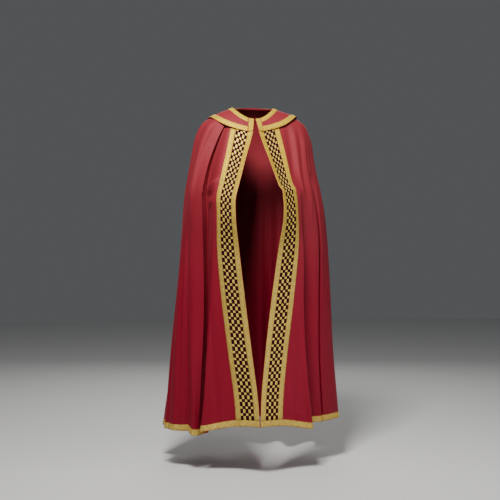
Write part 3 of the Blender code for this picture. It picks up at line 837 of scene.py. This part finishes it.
def weave(nodes, place, warp, weft, repeat):
    """Threads at two pitches, crossing over each other with a repeat."""
    parts = nodes.add("ShaderNodeSeparateXYZ", {"Vector": place}).outputs
    a = nodes.math("DIVIDE", parts["X"], warp)
    b = nodes.math("DIVIDE", parts["Y"], weft)
    turn = nodes.math("ADD", nodes.math("FLOOR", a), nodes.math("FLOOR", b))
    turn = nodes.math("FLOORED_MODULO", turn, repeat)
    over = nodes.math("LESS_THAN", turn, nodes.math("MULTIPLY", repeat, 0.5))
    warp_round = nodes.math("ABSOLUTE", nodes.math("SINE", nodes.math("MULTIPLY", a, math.pi)))
    weft_round = nodes.math("ABSOLUTE", nodes.math("SINE", nodes.math("MULTIPLY", b, math.pi)))
    top = nodes.math("MULTIPLY", warp_round, nodes.math("MULTIPLY_ADD", weft_round, 0.4, 0.6))
    low = nodes.math("MULTIPLY", weft_round, nodes.math("MULTIPLY_ADD", warp_round, 0.4, 0.4))
    return (nodes.math("MULTIPLY_ADD", over, nodes.math("SUBTRACT", top, low), low),)


def unevenness(nodes, place, patch, streak):
    """Soft patches and fine streaks along the cloth, both around 0.5."""
    patches = nodes.noise(nodes.stretched(place, 1.0, 0.45), patch, 3.0)
    streaks = nodes.noise(nodes.stretched(place, 1.0, 0.04), streak, 2.0)
    return patches, streaks


def stitches(nodes, offset):
    """Dent that a row of stitches pulls in the cloth, by the distance off it."""
    dent = nodes.ramp(nodes.math("ABSOLUTE", offset), *DENT_WIDTHS)
    return (nodes.math("SUBTRACT", 1.0, dent),)


WEAVE = group("weave", ("Place", "Warp", "Weft", "Repeat"), ("Height",), weave)
UNEVENNESS = group("unevenness", ("Place", "Patch", "Streak"), ("Patches", "Streaks"), unevenness)
STITCHES = group("stitches", ("Offset",), ("Dent",), stitches)


def start_finish(name):
    """A material with its nodes, its shader and the place on the flat cloth."""
    material = bpy.data.materials.new(name)
    material.use_nodes = True
    nodes = Nodes(material.node_tree)
    bsdf = material.node_tree.nodes["Principled BSDF"]
    place = nodes.add("ShaderNodeUVMap", uv_map=CUT_MAP).outputs["UV"]
    return material, nodes, bsdf, place


def effect(nodes, tree, **inputs):
    """Places a group in a material with its own values."""
    given = {name.capitalize(): value for name, value in inputs.items()}
    return nodes.add("ShaderNodeGroup", given, node_tree=tree).outputs


def spotted(nodes, place, spots):
    """Mask of the spots."""
    place = nodes.stretched(place, 1.0, spots.stretch)
    return nodes.ramp(nodes.noise(place, spots.scale, spots.detail), spots.low, spots.high)


def bumped(nodes, height, depth, normal=None):
    """Normal of a relief, on top of the one before it."""
    inputs = {"Height": height, "Distance": depth, "Strength": 1.0}
    if normal is not None:
        inputs["Normal"] = normal
    return nodes.add("ShaderNodeBump", inputs).outputs["Normal"]


def red_cloth():
    """Matt red twill, a little uneven, with the hem's row of stitches."""
    material, nodes, bsdf, place = start_finish("red_cloth")
    parts = nodes.add("ShaderNodeSeparateXYZ", {"Vector": place}).outputs
    threads = effect(nodes, WEAVE, place=place, **RED_THREADS)
    uneven = effect(nodes, UNEVENNESS, place=place, **RED_UNEVENNESS)
    hem = effect(nodes, STITCHES, offset=nodes.math("SUBTRACT", parts["Y"], STITCHING))
    # Painted sheen: the red turns paler towards the shoulders, where the light falls.
    painted_sheen = nodes.ramp(nodes.height(), *RED_PAINTED_SHEEN_HEIGHTS)
    deep = nodes.blend(uneven["Patches"], *DEEP_RED)
    pale = nodes.blend(uneven["Patches"], *PALE_RED)
    # How much of its full colour the cloth shows: painted shade between its threads and in the
    # dent of its stitches, and less in its own streaks.
    shade = nodes.math("MULTIPLY_ADD", threads["Height"], 0.30, 0.61)
    shade = nodes.math("MULTIPLY_ADD", uneven["Streaks"], 0.22, shade)
    shade = nodes.math("MULTIPLY_ADD", hem["Dent"], -0.16, shade)
    colour = nodes.blend(shade, RED_SHADE, nodes.blend(painted_sheen, deep, pale))
    normal = bumped(nodes, threads["Height"], RED_THREAD_DEPTH)
    normal = bumped(nodes, uneven["Streaks"], RED_STREAK_DEPTH, normal)
    smooth = nodes.math("SUBTRACT", 1.0, hem["Dent"])
    normal = bumped(nodes, smooth, RED_DENT_DEPTH, normal)
    inputs = {
        "Base Color": colour,
        "Normal": normal,
        "Roughness": 0.60,
        "Specular IOR Level": 0.36,
        "Specular Tint": RED_GLOSS,
        "Sheen Weight": 0.10,
        "Sheen Roughness": 0.40,
        "Sheen Tint": RED_SHEEN,
    }
    nodes.fill(bsdf, inputs)
    return material


def gold_galloon():
    """Flat ribbon of gold thread: fine ribs, a cord at each edge and flecks
    where the core thread shows."""
    material, nodes, bsdf, place = start_finish("gold_galloon")
    parts = nodes.add("ShaderNodeSeparateXYZ", {"Vector": place}).outputs
    threads = effect(nodes, WEAVE, place=place, **GOLD_THREADS)
    uneven = effect(nodes, UNEVENNESS, place=place, **GOLD_UNEVENNESS)
    off_middle = nodes.math("ABSOLUTE", nodes.math("SUBTRACT", parts["X"], GALLOON / 2))
    edge = nodes.math("SUBTRACT", GALLOON / 2, off_middle)
    sewn = effect(nodes, STITCHES, offset=nodes.math("SUBTRACT", edge, SEWN_IN))
    cord = nodes.math("SUBTRACT", 1.0, nodes.ramp(edge, *CORD))
    mottle = spotted(nodes, place, MOTTLE)
    flecks = spotted(nodes, place, FLECKS)
    # Painted light: the gold is paler and brighter low down and deeper towards the shoulders.
    painted_light_height = nodes.ramp(nodes.height(), *GOLD_PAINTED_LIGHT_HEIGHTS)
    low = nodes.blend(uneven["Patches"], *PALE_GOLD)
    high = nodes.blend(uneven["Patches"], *DEEP_GOLD)
    colour = nodes.blend(painted_light_height, low, high)
    for mask, spots in ((mottle, MOTTLE), (flecks, FLECKS)):
        colour = nodes.blend(nodes.math("MULTIPLY", mask, spots.share), colour, spots.colour)
    # Painted shade between the threads and in the dent of the stitches; lighter at the edge
    # cords.
    shade = nodes.math("MULTIPLY_ADD", threads["Height"], 0.55, 0.50)
    shade = nodes.math("MULTIPLY_ADD", cord, 0.12, shade)
    shade = nodes.math("MULTIPLY_ADD", sewn["Dent"], -0.25, shade)
    normal = bumped(nodes, threads["Height"], GOLD_THREAD_DEPTH)
    raised = nodes.math("SUBTRACT", cord, sewn["Dent"])
    normal = bumped(nodes, raised, GOLD_CORD_DEPTH, normal)
    inputs = {
        "Base Color": nodes.blend(shade, GOLD_SHADE, colour),
        "Normal": normal,
        "Metallic": nodes.math("MULTIPLY_ADD", threads["Height"], 0.25, 0.12),
        "Roughness": nodes.math("MULTIPLY_ADD", flecks, 0.20, 0.48),
        "Specular IOR Level": 0.10,
        "Specular Tint": GOLD_GLOSS,
    }
    nodes.fill(bsdf, inputs)
    return material


def check_band():
    """Woven check of five columns: tall rows and short rows take turns, and
    dark and gold change places between them."""
    material, nodes, bsdf, place = start_finish("check_band")
    ragged = nodes.noise(place, RAGGED_SCALE, 1.0)
    ragged = nodes.math("MULTIPLY_ADD", ragged, RAGGED, -RAGGED / 2)
    parts = nodes.add("ShaderNodeSeparateXYZ", {"Vector": place}).outputs
    u = nodes.math("ADD", parts["X"], ragged)
    v = nodes.math("ADD", parts["Y"], ragged)
    column = nodes.math("FLOOR", nodes.math("DIVIDE", u, COLUMN_WIDTH))
    odd = nodes.math("FLOORED_MODULO", column, 2.0)
    in_column = nodes.math("FLOORED_MODULO", u, COLUMN_WIDTH)
    to_next_column = nodes.math("SUBTRACT", COLUMN_WIDTH, in_column)
    side = nodes.math("MINIMUM", in_column, to_next_column)
    in_pair = nodes.math("FLOORED_MODULO", v, ROW_PAIR)
    to_next_pair = nodes.math("SUBTRACT", ROW_PAIR, in_pair)
    tall = nodes.math("LESS_THAN", in_pair, TALL_ROW)
    past = nodes.math("ABSOLUTE", nodes.math("SUBTRACT", in_pair, TALL_ROW))
    end = nodes.math("MINIMUM", past, nodes.math("MINIMUM", in_pair, to_next_pair))
    inside = nodes.math("SMOOTH_MIN", side, end, CORNER)
    dark_cell = nodes.math("ABSOLUTE", nodes.math("SUBTRACT", tall, odd))
    sign = nodes.math("MULTIPLY_ADD", dark_cell, 2.0, -1.0)
    dark = nodes.ramp(nodes.math("MULTIPLY", inside, sign), *DARK_ENDS)
    bright = nodes.math("SUBTRACT", 1.0, dark)
    outline = nodes.math("SUBTRACT", 1.0, nodes.ramp(inside, *OUTLINE_ENDS))
    threads = effect(nodes, WEAVE, place=place, **CHECK_THREADS)
    uneven = effect(nodes, UNEVENNESS, place=place, **CHECK_UNEVENNESS)
    gold = nodes.blend(uneven["Patches"], *CHECK_GOLD)
    gold = nodes.blend(outline, gold, CHECK_OUTLINE)
    night = nodes.blend(uneven["Streaks"], *CHECK_NIGHT)
    # Painted shade between the threads.
    shade = nodes.math("MULTIPLY_ADD", threads["Height"], 0.50, 0.55)
    colour = nodes.blend(shade, CHECK_SHADE, nodes.blend(dark, gold, night))
    normal = bumped(nodes, threads["Height"], CHECK_THREAD_DEPTH)
    normal = bumped(nodes, bright, CHECK_GOLD_DEPTH, normal)
    inputs = {
        "Base Color": colour,
        "Normal": normal,
        "Metallic": nodes.math("MULTIPLY", bright, 0.3),
        "Roughness": nodes.math("MULTIPLY_ADD", dark, 0.35, 0.45),
        "Specular IOR Level": 0.04,
        "Specular Tint": CHECK_GLOSS,
    }
    nodes.fill(bsdf, inputs)
    return material


FINISHES = {finish.__name__: finish() for finish in (red_cloth, gold_galloon, check_band)}


# ---------------------------------------------------------------- stage
CAMERA_DISTANCE = 4.0
CAMERA_AZIMUTH = math.radians(-6)
CAMERA_HEIGHT = 0.933  # above the floor
CAMERA_ANGLE = math.radians(30.88)
CAMERA_ASIDE = -0.01105  # keeps the garment right of the view's middle
FLOOR_REACH = 8.0
FLOOR_COLOUR = (0.72, 0.71, 0.69, 1)
FLOOR_ROUGHNESS = 0.9
SKY_COLOUR = (0.75, 0.78, 0.82, 1)
SKY_STRENGTH = 0.12

# Soft square lamps: where each is and aims, its side, its beam in degrees and
# its power in watts.
Lamp = namedtuple("Lamp", "name place aim size spread power")
LAMPS = (
    Lamp("key", (-0.50, -1.55, 1.30), (0, 0, 0.3), 0.6, 180, 118),
    Lamp("right", (2.0, -1.0, -0.3), (0, 0, 0.3), 0.8, 180, 13),
    Lamp("low_right", (1.5, -1.7, -0.7), (0.14, -0.25, -0.88), 0.6, 40, 0.65),
    Lamp("back", (0.3, 2.8, 1.2), (0, 0, 0.3), 2.0, 180, 36),
)


def make_camera():
    across = Vector((math.cos(CAMERA_AZIMUTH), math.sin(CAMERA_AZIMUTH), 0))
    ahead = Vector((-math.sin(CAMERA_AZIMUTH), math.cos(CAMERA_AZIMUTH), 0))
    camera = bpy.data.objects.new("camera", bpy.data.cameras.new("camera"))
    bpy.context.scene.collection.objects.link(camera)
    height = Vector((0, 0, CAMERA_HEIGHT - SHOULDER_LEVEL))
    camera.location = height - CAMERA_DISTANCE * ahead + CAMERA_ASIDE * across
    camera.rotation_euler = ahead.to_track_quat("-Z", "Y").to_euler()
    camera.data.angle = CAMERA_ANGLE
    bpy.context.scene.camera = camera


def make_floor():
    material = bpy.data.materials.new("floor")
    material.use_nodes = True
    shader = material.node_tree.nodes["Principled BSDF"].inputs
    shader["Base Color"].default_value = FLOOR_COLOUR
    shader["Roughness"].default_value = FLOOR_ROUGHNESS
    mesh = bpy.data.meshes.new("floor")
    r = FLOOR_REACH
    z = -SHOULDER_LEVEL
    corners = [(-r, -r, z), (r, -r, z), (r, r, z), (-r, r, z)]
    mesh.from_pydata(corners, [], [(0, 1, 2, 3)])
    floor = bpy.data.objects.new("floor", mesh)
    bpy.context.scene.collection.objects.link(floor)
    mesh.materials.append(material)


def make_light():
    for lamp in LAMPS:
        data = bpy.data.lights.new(lamp.name, "AREA")
        data.size = lamp.size
        data.spread = math.radians(lamp.spread)
        data.energy = lamp.power
        light = bpy.data.objects.new(lamp.name, data)
        light.location = lamp.place
        ahead = Vector(lamp.aim) - Vector(lamp.place)
        light.rotation_euler = ahead.to_track_quat("-Z", "Y").to_euler()
        bpy.context.scene.collection.objects.link(light)
    world = bpy.data.worlds.new("studio")
    world.use_nodes = True
    sky = world.node_tree.nodes["Background"].inputs
    sky["Color"].default_value = SKY_COLOUR
    sky["Strength"].default_value = SKY_STRENGTH
    bpy.context.scene.world = world


# Flat sizes of the pieces, in metres: width, length, the share of that
# rectangle that is cloth, what each piece lies on, and its slot.
Cut = namedtuple("Cut", "piece width length share rests_on slot")


def declare():
    """Attach each cloth and ribbon piece to the root body, and hide the solid of the same name.
    """
    for obj in list(bpy.data.objects):
        if not obj.name.endswith(("_cloth", "_ribbon")):
            continue
        node = obj.name.rsplit("_", 1)[0]
        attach(obj, "root")
        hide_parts(node)


make_camera()
make_floor()
make_light()
halves = {side: mantle_half(side) for side in SIDES}
for side, cloth in halves.items():
    make_half(side, cloth)
make_collar()
declare()
